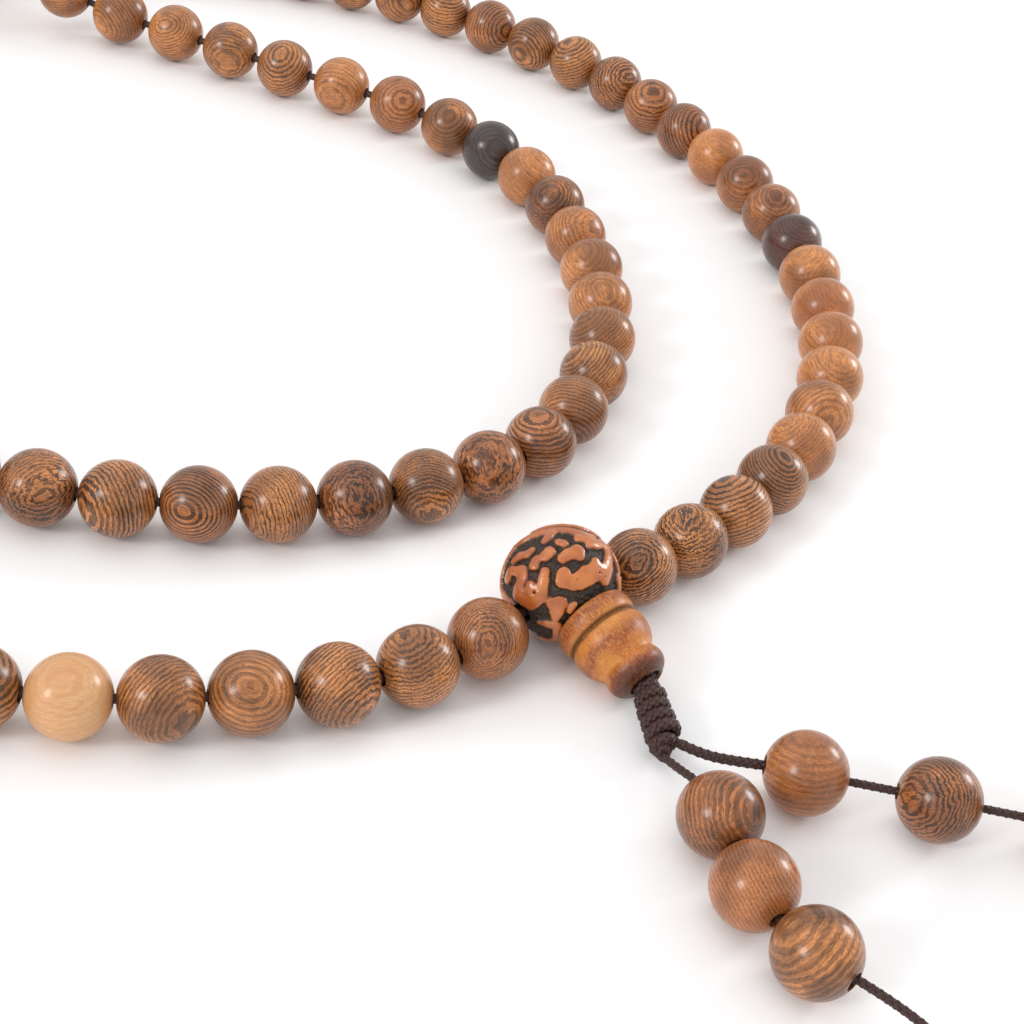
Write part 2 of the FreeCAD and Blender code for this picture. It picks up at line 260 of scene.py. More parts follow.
def carved_wood():
    """Polished caramel on the raised islands, dark and rough in between."""
    s = Shader("carved_wood", Coat_Roughness=0.16, Specular_IOR_Level=0.5)
    place, relief = s.read("grain"), s.read("relief", "Fac")
    cloud = s.noise(place, 0.5, 3.0, seed=3.0)
    speck = s.noise(place, 7.0, 3.0, 0.65, seed=5.0)
    top = s.mix(s.span(cloud, 0.35, 0.68), colour(166, 86, 36), colour(199, 116, 50))
    top = s.mix(s.span(speck, 0.55, 0.8, 0.0, 0.35), top, colour(140, 74, 44))
    low = s.mix(s.span(speck, 0.42, 0.7), colour(28, 18, 14), colour(90, 64, 48))
    edge = s.mix(s.span(relief, 0.45, 0.9), colour(74, 44, 30), top)
    base = s.mix(s.span(relief, 0.25, 0.55), low, edge)
    rough = s.span(relief, 0.3, 0.7, 0.6, 0.3)
    s.tree.links.new(s.span(relief, 0.5, 0.8, 0.0, 0.55), s.surface.inputs["Coat Weight"])
    return s.finish(base, rough, speck, 0.05, 0.35)


# reddish bands round the tower: stations where one starts, is strongest and ends, and its strength
TOWER_BANDS = ((3.6, 5.4, 7.6, 0.85), (7.9, 9.2, 10.5, 0.85), (10.9, 12.2, 17.0, 0.95))


def turned_wood():
    """Amber wood with reddish bands round the tower and short fibres along it."""
    s = Shader("turned_wood", Coat_Weight=0.15, Coat_Roughness=0.3, Specular_IOR_Level=0.4)
    place = s.read("grain")
    station = s.add("SeparateXYZ", {0: place}).outputs[2]
    drift = s.math("SUBTRACT", s.noise(place, 0.35, 2.0, seed=6.0), 0.5)
    along = s.math("MULTIPLY_ADD", drift, 2.2, station)
    cloud = s.noise(s.scaled(place, (1.0, 1.0, 0.6)), 0.5, 3.0, 0.6, seed=2.0)
    fibre = s.noise(s.scaled(place, (1.0, 1.0, 0.3)), 5.5, 4.0, 0.65, seed=8.0, distortion=0.4)
    fleck = s.noise(s.scaled(place, (1.0, 1.0, 0.5)), 10.0, 2.0, 0.6, seed=4.0)
    base = s.mix(s.span(cloud, 0.36, 0.66), colour(203, 130, 54), colour(178, 94, 40))
    for low, middle, high, share in TOWER_BANDS:
        band = s.math("MULTIPLY", s.span(along, low, middle), s.span(along, high, middle))
        base = s.mix(s.math("MULTIPLY", band, share), base, colour(126, 46, 24))
    base = s.mix(s.span(along, 11.4, 13.0, 0.0, 0.95), base, colour(66, 27, 17))
    pale = s.math("MULTIPLY", s.span(fibre, 0.38, 0.72, 0.0, 0.5), s.span(along, 12.6, 11.0, 0.3, 1.0))
    base = s.mix(pale, base, colour(228, 164, 86))
    base = s.mix(s.span(fleck, 0.54, 0.72, 0.0, 0.6), base, colour(112, 56, 30))
    groove = s.math("MULTIPLY", s.span(station, 6.5, 6.9), s.span(station, 7.6, 7.16))
    olive = s.mix(s.span(fleck, 0.4, 0.6), colour(64, 37, 18), colour(154, 102, 44))
    base = s.mix(s.math("MULTIPLY", groove, 0.85), base, olive)
    rough = s.math("MULTIPLY_ADD", groove, 0.25, s.span(fibre, 0.3, 0.7, 0.34, 0.46))
    return s.finish(base, rough, s.math("ADD", fibre, fleck), 0.03, 0.4)


def braided_cord():
    """Dark nylon. The mesh gives distance along each strand and the angle round it."""
    s = Shader("braided_cord", Specular_IOR_Level=0.4, Sheen_Weight=0.03, Sheen_Roughness=0.4)
    thread = s.read("thread")
    lines = s.noise(s.scaled(thread, (0.5, 1.6, 1.0)), 3.2, 3.0, 0.6, seed=1.0)
    base = s.mix(s.span(lines, 0.3, 0.7), colour(26, 13, 11), colour(80, 48, 41))
    rough = s.span(lines, 0.3, 0.7, 0.38, 0.55)
    return s.finish(base, rough, lines, 0.03, 0.6)


def floor_surface():
    """Matt and nearly white."""
    s = Shader("pale_floor")
    haze = s.noise(s.add("TexCoord", {}).outputs["Object"], 6.0, 2.0)
    base = s.mix(haze, colour(248, 248, 249), colour(251, 251, 251))
    return s.finish(base, s.span(haze, 0.0, 1.0, 0.6, 0.7), haze, 0.01, 0.1)


WOOD = {
    "striped_wood": striped_wood("striped_wood", colour(23, 14, 12), colour(158, 97, 54),
                                 colour(232, 154, 88), 0.30),
    "dark_wood": striped_wood("dark_wood", colour(32, 26, 26), colour(60, 47, 44),
                              colour(90, 72, 64), 0.25),
    "pale_wood": striped_wood("pale_wood", colour(196, 134, 82), colour(222, 170, 116),
                              colour(238, 196, 144), 0.34),
}
CARVED = carved_wood()
TURNED = turned_wood()
BRAIDED = braided_cord()


# ---------------------------------------------------------------- mesh helpers
def grid_faces(rows, columns, rows_close=False, columns_close=True, start=0):
    """Quads between the points of a grid, numbered row by row."""
    r = np.arange(rows if rows_close else rows - 1)
    c = np.arange(columns if columns_close else columns - 1)
    r, c = (a.ravel() for a in np.meshgrid(r, c, indexing="ij"))
    r2, c2 = (r + 1) % rows, (c + 1) % columns
    corners = np.stack([r * columns + c, r * columns + c2, r2 * columns + c2, r2 * columns + c], 1)
    return corners + start


def outward(points, quads):
    """The quads, turned over if the closed surface that they make is inside out."""
    a, b, c, d = (points[quads[:, i]] for i in range(4))
    volume = np.einsum("ij,ij->", a, np.cross(b, c)) + np.einsum("ij,ij->", a, np.cross(c, d))
    return quads if volume > 0 else quads[:, ::-1]


def end_caps(faces, size, per_ring):
    """The first and the last ring of a grid as faces, turned the way the quads beside them are."""
    first = list(range(per_ring))
    last = [size - per_ring + i for i in range(per_ring)]
    return [first[::-1], last] if faces[0][:2] == [0, 1] else [first, last[::-1]]


def mesh_of(name, points, faces, **attributes):
    """A smooth mesh in metres, with vector or plain values at its points."""
    mesh = bpy.data.meshes.new(name)
    mesh.from_pydata((points * MM).tolist(), [], faces)
    mesh.shade_smooth()
    for key, values in attributes.items():
        values = np.asarray(values, np.float32)
        kind, field = ("FLOAT_VECTOR", "vector") if values.ndim == 2 else ("FLOAT", "value")
        mesh.attributes.new(key, kind, "POINT").data.foreach_set(field, values.ravel())
    return mesh


def piece(name, mesh, material, body, slot, *nodes):
    """A shown piece that rides on a body and stands for CAD nodes."""
    obj = link(name, mesh)
    mesh.materials.clear()
    mesh.materials.append(material)
    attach(obj, body)
    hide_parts(*nodes)
    return obj


def box_centre(node):
    """The middle of a CAD node's box, in millimetres."""
    low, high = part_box(node)
    return (np.array(low) + np.array(high)) / 2 / MM


def lattice_noise(points, cell, seed):
    """Smooth noise from -1 to 1 at each point, from random values on a cubic lattice."""
    side = 48
    table = np.random.default_rng(seed).uniform(-1, 1, (side, side, side))
    base = np.floor(points / cell).astype(int)
    f = points / cell - base
    f = f * f * (3 - 2 * f)
    total = np.zeros(len(points))
    for corner in np.ndindex(2, 2, 2):
        weight = np.prod(np.where(corner, f, 1 - f), axis=1)
        x, y, z = ((base + corner) % side).T
        total += weight * table[x, y, z]
    return total


# ---------------------------------------------------------------- places, from the frame
JOINTS = {joint["name"]: joint for joint in frame["joints"]}
BODY_OF = {node: body
           for body, nodes in frame["record"]["behaviour"]["bodies"].items()
           for node in nodes}
GURU = box_centre("guru_bead")
TOWER_AXIS = unit(JOINTS["tower_spin"]["axis"])
KNOT_TOP = np.array(JOINTS["knot_swing"]["pos_m"]) / MM
KNOT_AXIS = unit((0.290, -0.944, -0.151))


def balls_of(node):
    """Centres of the balls in a CAD node that holds several, from its mesh's separate parts."""
    mesh = frame["nodes"][node].data
    at = np.empty(len(mesh.vertices) * 3)
    mesh.vertices.foreach_get("co", at)
    at = at.reshape(-1, 3) / MM
    ends = np.empty(len(mesh.edges) * 2, int)
    mesh.edges.foreach_get("vertices", ends)
    ends = ends.reshape(-1, 2)
    label = np.arange(len(at))
    while True:
        lowest = np.minimum(label[ends[:, 0]], label[ends[:, 1]])
        before = label.copy()
        np.minimum.at(label, ends[:, 0], lowest)
        np.minimum.at(label, ends[:, 1], lowest)
        label = label[label]
        if (label == before).all():
            break
    centres = []
    for part in np.unique(label):
        corners = at[label == part]
        low, high = corners.min(0), corners.max(0)
        if (high - low).min() > 1.5 * BEAD_RADIUS:
            centres.append((low + high) / 2)
    return centres


def in_line(centres, start):
    """Centres put in order along the string, each the nearest one left to the one before."""
    left, order, last = list(centres), [], start
    while left:
        nearest = min(range(len(left)), key=lambda i: np.linalg.norm(left[i] - last))
        last = left.pop(nearest)
        order.append(last)
    return order


# ---------------------------------------------------------------- beads
BEAD_RADIUS = 4.0
BORE_RADIUS = 0.78
WIDE_BORE_RADIUS = 0.93                # where the cord bends on its way in or out
WIDE_BORED = (1, 57, 58, 76, 77, 78, 108, "a1", "a3", "b1")
RIM_WIDTH = 0.052
RIM_DEPTH = 0.04
BEAD_SEGMENTS = 60
BALL_ROWS = 35
BORE_ROWS = 5
OVAL = 0.003                           # how much slimmer a bead can be one way, as a share
SHRINK = 0.997                         # the smallest bead beside the largest
SEEDS = 60                             # range of the grain's seeds


def bead_outline(bore_radius):
    """The closed outline that is turned about the bore: ball, rim, bore, rim, as radius and
    height."""
    mouth = math.acos((bore_radius + RIM_WIDTH) / BEAD_RADIUS)
    latitude = np.linspace(-mouth, mouth, BALL_ROWS)
    ball = np.stack([np.cos(latitude), np.sin(latitude)], 1) * BEAD_RADIUS
    rim_radius, rim_height = ball[-1]
    bend = np.radians((25, 55, 85))
    rim = np.stack([rim_radius - (rim_radius - bore_radius) * np.sin(bend),
                    rim_height - RIM_DEPTH * (1 - np.cos(bend))], 1)
    heights = np.linspace(rim_height - 2 * RIM_DEPTH, 2 * RIM_DEPTH - rim_height, BORE_ROWS)
    bore = np.stack([np.full(BORE_ROWS, bore_radius), heights], 1)
    return np.concatenate([ball, rim, bore, rim[::-1] * (1, -1)])


OUTLINE = bead_outline(BORE_RADIUS)
WIDE_OUTLINE = bead_outline(WIDE_BORE_RADIUS)
BEAD_FACES = grid_faces(len(OUTLINE), BEAD_SEGMENTS, rows_close=True)


def square_to(axis):
    """Two directions square to an axis and to each other."""
    helper = (0, 0, 1) if abs(axis[2]) < 0.9 else (1, 0, 0)
    first = unit(np.cross(helper, axis))
    return first, np.cross(axis, first)


def bead_points(axis, outline):
    """A hand-turned ball about its bore: very slightly oval, and never quite like the next."""
    first, second = square_to(axis)
    angle = np.arange(BEAD_SEGMENTS) / BEAD_SEGMENTS * TURN
    oval = 1 - RANDOM.uniform(0.0, OVAL) * (1 + np.cos(2 * angle + RANDOM.uniform(0, TURN)))
    radius = outline[:, :1] * oval * RANDOM.uniform(SHRINK, 1.0)
    height = np.repeat(outline[:, 1:], BEAD_SEGMENTS, 1) * RANDOM.uniform(SHRINK, 1.0)
    round_it = np.cos(angle)[:, None] * first + np.sin(angle)[:, None] * second
    points = radius[..., None] * round_it + height[..., None] * axis
    return points.reshape(-1, 3)


def grain_axes(side, up):
    """Rows of the turn from the frame to a bead's grain: along the fibres, across them, and
    square to the layers. The rings of the grain are centred at a share of the radius across and
    up, on the face turned to the camera."""
    toward = math.sqrt(max(0.0, 1 - side * side - up * up))
    layer = unit(side * ACROSS + up * UP - toward * AHEAD)
    first, second = square_to(layer)
    turn = RANDOM.uniform(0, TURN)
    fibre = math.cos(turn) * first + math.sin(turn) * second
    return np.stack([fibre, np.cross(layer, fibre), layer])


# where the rings are centred across and up, tone, layer spacing in mm, bulge, strength, waver
LOOKS = {
    1: (-0.17, 0.14, 0.15, 0.62, 0.7, 1.0, 0.5),
    2: (-0.1, 0.74, 0.3, 0.52, 0.35, 1.0, 0.6),
    3: (-0.3, 0.9, 0.56, 0.55, 0.1, 1.0, 0.18),
    4: (0.27, 0.65, 0.38, 0.52, 0.5, 0.9, 0.25),
    5: (-0.55, 0.75, 0.22, 0.5, 0.2, 0.3, 0.25),
    6: (0.1, -0.3, 0.5, 0.75, 0.4, 0.5, 0.25),
    7: (0.2, 0.6, 0.5, 0.6, 0.3, 0.3, 0.3),
    8: (-0.4, 0.3, 0.75, 0.6, 0.3, 0.25, 0.3),
    9: (0.5, 0.5, 0.9, 0.6, 0.3, 0.2, 0.3),
    10: (-0.3, 0.6, 0.38, 0.6, 0.3, 0.25, 0.3),
    12: (0.1, 0.5, 0.05, 0.55, 0.3, 0.6, 0.3),
    13: (-0.2, 0.1, 0.3, 0.6, 0.3, 0.5, 0.3),
    14: (0.3, 0.4, 0.95, 0.6, 0.2, 0.2, 0.3),
    49: (-0.6, 0.6, 0.3, 0.55, 0.2, 1.0, 0.3),
    50: (0.38, -0.14, 0.38, 0.66, 0.55, 1.0, 0.7),
    51: (-0.75, -0.33, 0.28, 0.58, 0.15, 1.0, 0.28),
    52: (-0.21, -0.18, 0.3, 0.62, 0.75, 1.0, 0.16),
    53: (-0.73, -0.37, 0.62, 0.48, 0.2, 1.0, 0.3),
    54: (0.12, -0.06, 0.34, 0.8, 0.4, 1.0, 0.9),
    55: (0.13, -0.8, 0.2, 0.44, 0.25, 0.85, 0.3),
    56: (-0.05, 0.15, 0.42, 0.9, 0.25, 1.0, 1.0),
    57: (-0.05, 0.72, 0.3, 0.62, 0.4, 0.9, 0.25),
    58: (-0.1, -0.85, 0.36, 0.55, 0.3, 0.7, 0.22),
    59: (-0.65, 0.65, 0.02, 0.46, 0.1, 0.75, 0.2),
    60: (-0.6, 0.7, 0.32, 0.5, 0.1, 0.55, 0.2),
    61: (0.1, 0.3, 0.2, 0.6, 0.3, 0.4, 0.3),
    62: (-0.3, 0.5, 0.36, 0.6, 0.3, 0.3, 0.3),
    63: (0.6, 0.2, 0.5, 0.6, 0.2, 0.5, 0.3),
    64: (-0.2, 0.2, 0.0, 0.5, 0.2, 0.8, 0.3),
    65: (0.6, 0.6, 0.75, 0.5, 0.1, 0.35, 0.3),
    102: (0.16, 0.74, 0.12, 0.92, 0.3, 0.9, 0.3),
    103: (0.1, 0.45, 0.7, 0.85, 0.3, 0.45, 0.3),
    104: (0.7, -0.5, 0.28, 0.58, 0.15, 0.8, 0.3),
    105: (0.09, 0.23, 0.34, 0.85, 0.6, 0.6, 0.18),
    106: (0.7, -0.62, 0.4, 0.5, 0.15, 0.95, 0.3),
    107: (-0.24, 0.82, 0.42, 0.5, 0.2, 0.85, 0.35),
    108: (0.02, -0.07, 0.42, 0.46, 0.65, 0.8, 0.4),
    "a1": (0.7, 0.27, 0.0, 0.6, 0.2, 0.68, 0.3),
    "a2": (0.86, 0.5, 0.3, 0.42, 0.05, 0.42, 0.12),
    "a3": (-0.6, 0.7, 0.0, 0.85, 0.1, 0.58, 0.3),
    "b1": (0.05, 0.93, 0.4, 0.75, 0.15, 0.36, 0.3),
    "b2": (-0.8, 0.11, 0.35, 0.54, 0.3, 1.0, 0.4),
}


def look_of(number):
    """A bead's look from the table, or a made-up one for a bead that has none."""
    if number in LOOKS:
        return LOOKS[number]
    side, up = RANDOM.uniform(-0.7, 0.7, 2)
    return (side, up, RANDOM.uniform(0.15, 0.7), RANDOM.uniform(0.48, 0.8),
            RANDOM.uniform(0.05, 0.6), RANDOM.uniform(0.45, 1.0), RANDOM.uniform(0.2, 0.45))


def dressed_bead(number, centre, axis):
    """Points, grain coordinates and traits of one bead."""
    side, up, tone, spacing, bulge, strength, waver = look_of(number)
    outline = WIDE_OUTLINE if number in WIDE_BORED else OUTLINE
    points = bead_points(axis, outline)
    layer_shift = (0, 0, RANDOM.uniform(0, spacing))
    grain = points @ grain_axes(side, up).T + layer_shift
    every = np.ones((len(points), 1))
    trait = every * (tone, RANDOM.uniform(0, SEEDS), spacing)
    return points + centre, grain, trait, every * (bulge, strength, waver)


def bead_piece(name, beads, kind, node):
    """One piece of one or more beads, each given as number, centre and axis."""
    dressed = [dressed_bead(*bead) for bead in beads]
    points, grain, trait, figure = (np.concatenate(part) for part in zip(*dressed))
    size = len(dressed[0][0])
    faces = [outward(part[0], BEAD_FACES) + i * size for i, part in enumerate(dressed)]
    mesh = mesh_of(name, points, np.concatenate(faces).tolist(), grain=grain, trait=trait,
                   figure=figure)
    return piece(name, mesh, WOOD[kind], BODY_OF[node], kind, node)


def wood_of(node):
    """Which wood a bead is turned from, by its name."""
    if node.startswith("marker"):
        return "dark_wood"
    return "pale_wood" if node.startswith("pale") else "striped_wood"


def make_loop_beads():
    """Every bead of the loop. Gives the centres of all of them in order along the string."""
    spin = "_spin"
    turning = {int(name[:-len(spin)].rsplit("_", 1)[1]): name[:-len(spin)] for name in JOINTS
               if "bead_" in name and name.endswith(spin) and not name.startswith("tail")}
    at = {n: np.array(JOINTS[node + spin]["pos_m"]) / MM for n, node in turning.items()}
    groups = {}
    for node in frame["nodes"]:
        words = node.split("_")
        if words[0] == "beads":
            groups[node] = range(int(words[1]), int(words[3]) + 1)
    for node, numbers in groups.items():
        at.update(zip(numbers, in_line(balls_of(node), at[numbers[0] - 1])))
    for n, node in sorted(turning.items()):
        bead = (n, at[n], unit(JOINTS[node + spin]["axis"]))
        bead_piece("wood_" + node, [bead], wood_of(node), node)
    for node, numbers in sorted(groups.items()):
        beads = [(n, at[n], unit(at[n + 1] - at[n - 1])) for n in numbers]
        bead_piece("wood_" + node, beads, "striped_wood", node)
    return [at[n] for n in sorted(at)]


# ---------------------------------------------------------------- cord work
CORD_RADIUS = 0.475
STRANDS = 8
STRAND_WIDTH = 0.46
STRAND_THICK = 0.28
WEAVE = 0.075                          # how far a strand rises over the ones it crosses
BRAID_PITCH = 3.1
STRAND_SIDES = 8
CORE_SIDES = 10
THREAD_SHIFT = 5.0                     # between the threads of one strand and those of the next
STEP = 0.11


def resampled(path, step):
    """Points a step apart along a line."""
    gone = np.concatenate([[0], np.cumsum(np.linalg.norm(np.diff(path, axis=0), axis=1))])
    at = np.linspace(0, gone[-1], max(2, int(round(gone[-1] / step)) + 1))
    return np.stack([np.interp(at, gone, path[:, i]) for i in range(3)], 1), at


def through(points, per_span=8):
    """A smooth line through points, as a Catmull-Rom spline."""
    p = np.array([2 * points[0] - points[1], *points, 2 * points[-1] - points[-2]])
    t = np.linspace(0, 1, per_span, endpoint=False)[:, None]
    spans = [0.5 * (2 * b + (c - a) * t + (2 * a - 5 * b + 4 * c - d) * t ** 2
                    + (3 * b - a - 3 * c + d) * t ** 3)
             for a, b, c, d in zip(p, p[1:], p[2:], p[3:])]
    return np.concatenate(spans + [points[-1][None]])


def heading_along(path, closed):
    """The direction of a path at each of its points."""
    if closed:
        return unit(np.roll(path, -1, 0) - np.roll(path, 1, 0))
    return unit(np.gradient(path, axis=0))


def carried_frames(path, closed):
    """Two directions square to a path at each point, carried along it without twist."""
    ahead = heading_along(path, closed)
    side = np.empty_like(path)
    current = square_to(ahead[0])[0]
    for i, direction in enumerate(ahead):
        current = unit(current - np.dot(current, direction) * direction)
        side[i] = current
    return side, np.cross(ahead, side)


def tube(path, radius, sides, closed=False):
    """Points and faces of a closed tube round a path. radius may change along it."""
    side, other = carried_frames(path, closed)
    angle = np.arange(sides) / sides * TURN
    cosine, sine = np.cos(angle)[None, :, None], np.sin(angle)[None, :, None]
    ring = cosine * side[:, None] + sine * other[:, None]
    radius = np.broadcast_to(radius, len(path))
    points = (path[:, None] + ring * radius[:, None, None]).reshape(-1, 3)
    faces = outward(points, grid_faces(len(path), sides, rows_close=closed)).tolist()
    if not closed:
        faces += end_caps(faces, len(points), sides)
    return points, faces


def stretched(points, path, per_point, direction, factor):
    """Points round a path with their offsets along a direction made longer."""
    offset = points - np.repeat(path, per_point, 0)
    return points + (factor - 1) * (offset @ direction)[:, None] * direction


def braid(path, closed=False, radius=CORD_RADIUS, pitch=BRAID_PITCH, wide=(KNOT_AXIS, 1.0)):
    """Points, faces and thread coordinates of a plaited cord round a path, over a plain core.
    wide is a direction and how many times wider the cord is that way."""
    side, other = carried_frames(path, closed)
    steps = np.linalg.norm(np.diff(path, axis=0), axis=1)
    gone = np.concatenate([[0], np.cumsum(steps)])
    if closed:
        whole = gone[-1] + np.linalg.norm(path[0] - path[-1])
        pitch = whole / max(1, round(whole / pitch))
    radius = np.broadcast_to(radius, len(path))
    size = radius / CORD_RADIUS
    turns = gone / pitch * TURN
    core_radius = radius - (STRAND_THICK * 0.6 + WEAVE) * size
    core_points, core_faces = tube(path, core_radius, CORE_SIDES, closed)
    core_points = stretched(core_points, path, CORE_SIDES, *wide)
    points, faces, thread = [core_points], list(core_faces), [np.zeros((len(core_points), 3))]
    section = np.arange(STRAND_SIDES) / STRAND_SIDES * TURN
    for strand in range(STRANDS):
        way = 1 if strand % 2 else -1
        angle = way * turns + TURN * (strand // 2) / (STRANDS / 2)
        radial = np.cos(angle)[:, None] * side + np.sin(angle)[:, None] * other
        under = WEAVE - way * WEAVE * np.cos(STRANDS / 2 * turns)
        lift = radius - (STRAND_THICK / 2 + under) * size
        centre = path + lift[:, None] * radial
        lateral = np.cross(heading_along(centre, closed), radial)
        up = (STRAND_THICK / 2 * size)[:, None, None] * np.cos(section)[None, :, None]
        over = (STRAND_WIDTH / 2 * size)[:, None, None] * np.sin(section)[None, :, None]
        skin = (centre[:, None] + up * radial[:, None] + over * lateral[:, None]).reshape(-1, 3)
        skin = stretched(skin, path, STRAND_SIDES, *wide)
        start = sum(len(p) for p in points)
        quads = outward(skin, grid_faces(len(path), STRAND_SIDES, rows_close=closed)) + start
        faces += quads.tolist()
        if not closed:
            last = start + len(skin) - STRAND_SIDES
            faces += [[start + i for i in range(STRAND_SIDES)][::-1],
                      [last + i for i in range(STRAND_SIDES)]]
        points.append(skin)
        thread.append(np.stack([np.repeat(gone, STRAND_SIDES), np.tile(np.sin(section) * 2, len(path)),
                                np.full(len(skin), strand * THREAD_SHIFT)], 1))
    return np.concatenate(points), faces, np.concatenate(thread)


def joined(parts):
    """Several sets of points, faces and thread coordinates as one."""
    points, faces, thread = [], [], []
    for p, f, t in parts:
        start = sum(len(q) for q in points)
        points.append(p)
        faces += [[start + i for i in face] for face in f]
        thread.append(t)
    return np.concatenate(points), faces, np.concatenate(thread)


def cord_piece(name, parts, body, *nodes):
    """One piece of dark cord from several sets of points, faces and thread coordinates."""
    points, faces, thread = joined(parts)
    return piece(name, mesh_of(name, points, faces, thread=thread), BRAIDED, body, "cord", *nodes)


# ---------------------------------------------------------------- tails
TAIL_A_ROUTE = (
    (68.8, -74.5, 1.8), (70.2, -76.3, 2.4), (72.0, -78.8, 3.6), (73.7, -82.2, 4.05),
    (76.4, -89.8, 4.0), (81.5, -96.1, 4.0), (88.4, -99.8, 4.0), (92.3, -101.7, 3.0),
    (96.0, -103.9, 1.8), (98.8, -105.9, 1.4),
)
TAIL_B_ROUTE = (
    (70.2, -73.0, 2.4), (72.3, -74.0, 2.5), (75.2, -74.8, 3.2), (78.6, -75.4, 4.0),
    (112.6, -76.4, 4.0), (117.4, -76.2, 3.2), (121.6, -75.4, 2.0), (125.0, -74.2, 1.4),
)


def smooth_route(name, route):
    """A NURBS spline with the route's points as its control points, read as a line in mm."""
    curve = bpy.data.curves.new(name, "CURVE")
    curve.dimensions = "3D"
    curve.resolution_u = 24
    spline = curve.splines.new("NURBS")
    spline.points.add(len(route) - 1)
    for point, place in zip(spline.points, route):
        point.co = (*(c * MM for c in place), 1.0)
    spline.order_u = 3
    spline.use_endpoint_u = True
    obj = link(name, curve)
    bpy.context.view_layer.update()
    mesh = bpy.data.meshes.new_from_object(obj)
    line = np.array([v.co for v in mesh.vertices]) / MM
    bpy.data.objects.remove(obj)
    bpy.data.meshes.remove(mesh)
    return line


END_KNOT_COILS = 2.4
END_KNOT_PITCH = 1.05
END_KNOT_RADIUS = 0.60
END_KNOT_START = -0.3                  # before the end of the tail, so that the two cords join
END_KNOT_TIP = 1.6
END_KNOT_POINTS = 260


def end_knot(name, place, axis, body, node):
    """A barrel knot: the cord wound round itself, with a short tip."""
    first, second = square_to(axis)
    coil = END_KNOT_COILS * END_KNOT_PITCH
    along = np.linspace(END_KNOT_START, coil + END_KNOT_TIP, END_KNOT_POINTS)
    angle = np.clip(along, 0, coil) / END_KNOT_PITCH * TURN
    rise = np.clip(along / 0.5, 0, 1) * np.clip((coil + 0.4 - along) / 0.7, 0, 1)
    out = END_KNOT_RADIUS * rise * rise * (3 - 2 * rise)
    path = place + along[:, None] * axis
    path = path + out[:, None] * (np.cos(angle)[:, None] * first + np.sin(angle)[:, None] * second)
    path, gone = resampled(path, STEP)
    return cord_piece(name, [braid(path, radius=CORD_RADIUS * 0.98)], body, node)


def make_tail(letter, route, thickness):
    """A tail cord with its beads and its end knot."""
    line, gone = resampled(smooth_route("route_" + letter, route), STEP)
    body = "tail_" + letter
    radius = CORD_RADIUS * np.interp(gone, *thickness)
    cord = cord_piece("braid_tail_" + letter, [braid(line, radius=radius)], body,
                      "tail_cord_" + letter)
    on_it = [end_knot("braid_end_knot_" + letter, line[-1], unit(line[-1] - line[-4]), body,
                      "end_knot_" + letter)]
    for k in (1, 2, 3):
        node = "tail_bead_%s%d" % (letter, k)
        joint = JOINTS.get(node + "_spin") or JOINTS[node + "_slide"]
        bead = (letter + str(k), box_centre(node), unit(joint["axis"]))
        on_it.append(bead_piece("wood_" + node, [bead], "striped_wood", node))


# ---------------------------------------------------------------- knot
KNOT_TURNS = (                         # station from the pivot, half width, shift to the right
    (-0.3, 1.36, 0.0), (0.95, 1.38, 0.10), (2.25, 1.70, 0.22), (3.6, 1.76, 0.25),
    (4.95, 1.82, 0.38), (6.3, 1.90, 0.5), (7.5, 1.45, 0.25), (8.1, 0.95, 0.1),
)
KNOT_CORD_RADIUS = 0.55
KNOT_CORD_WIDE = 1.32                  # how many times wider it is along the knot
KNOT_CORD_PITCH = 2.6
KNOT_TURN_POINTS = 84
KNOT_TILT = math.radians(10)
LEG_SHIFT = 0.4                        # of each cord inside the knot, to its side of the middle
LEG_STATIONS = (-0.45, 2.5, 5.8)
LEG_RADIUS = 0.5


def make_knot():
    """Turns of plaited cord, each a bit tilted, round the two cords that come out of the tower's
    mouth, and the two ends that go on as tails."""
    toward = unit(CAMERA_PLACE - KNOT_TOP)
    toward = unit(toward - np.dot(toward, KNOT_AXIS) * KNOT_AXIS)
    right = np.cross(KNOT_AXIS, toward)
    right = right if np.dot(right, ACROSS) > 0 else -right
    slope = math.cos(KNOT_TILT) * right - math.sin(KNOT_TILT) * KNOT_AXIS
    angle = np.arange(KNOT_TURN_POINTS) / KNOT_TURN_POINTS * TURN
    ring = np.cos(angle)[:, None] * slope + np.sin(angle)[:, None] * toward
    parts = []
    for station, half_width, shift in KNOT_TURNS:
        middle = KNOT_TOP + KNOT_AXIS * station + right * shift
        path = middle + ring * (half_width - KNOT_CORD_RADIUS)
        parts.append(braid(path, closed=True, radius=KNOT_CORD_RADIUS, pitch=KNOT_CORD_PITCH,
                           wide=(KNOT_AXIS, KNOT_CORD_WIDE)))
    for route, side in ((TAIL_A_ROUTE, -1), (TAIL_B_ROUTE, 1)):
        start = np.array(route[0])
        heading = unit(np.array(route[1]) - start)
        leg = [KNOT_TOP + right * side * LEG_SHIFT + KNOT_AXIS * k for k in LEG_STATIONS]
        leg += [start - heading * 0.6, start + heading * 0.1]
        parts.append(braid(resampled(through(np.array(leg)), STEP)[0], radius=LEG_RADIUS))
    cord_piece("braid_knot", parts, "knot", "tassel_knot")


# ---------------------------------------------------------------- the loop's string
STRING_STEP = 0.4
STRING_SIDES = 12
STEM_SPACING = 1.0                     # between the string's two ends inside the tower
STEM_STATIONS = (12.1, 8.0, 4.0, 1.9)


